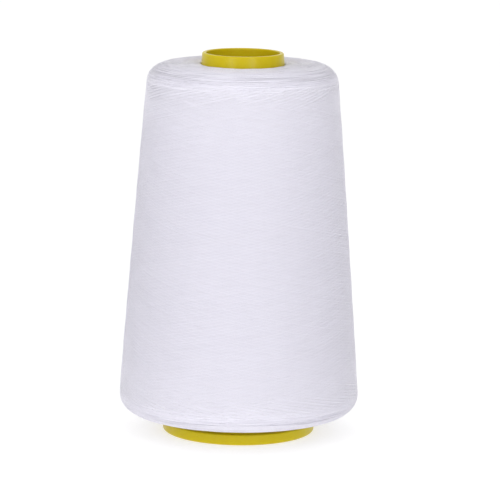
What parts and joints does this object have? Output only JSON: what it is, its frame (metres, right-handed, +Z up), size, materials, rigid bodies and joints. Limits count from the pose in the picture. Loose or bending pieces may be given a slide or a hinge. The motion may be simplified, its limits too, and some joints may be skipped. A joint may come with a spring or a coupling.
{
  "type": "cone of thread",
  "caption": "Cross-wound cone of white sewing thread on a hollow tapered plastic core, its short open nose above the thread and its flanged base ring below.",
  "frame": {"origin": "centre of the base ring's underside, on the cone's axis, where it stands", "axes": "+Z up the cone's axis towards its narrow nose; the piece is round, so +X and +Y are alike"},
  "size_m": [0.107, 0.107, 0.17],
  "materials": {
    "cone_plastic": "moulded yellow plastic, slightly glossy",
    "thread": "fine white polyester sewing thread, cross-wound, soft sheen"
  },
  "bodies": {
    "root": {"core": "cone_plastic", "thread": "thread"}
  },
  "joints": []
}
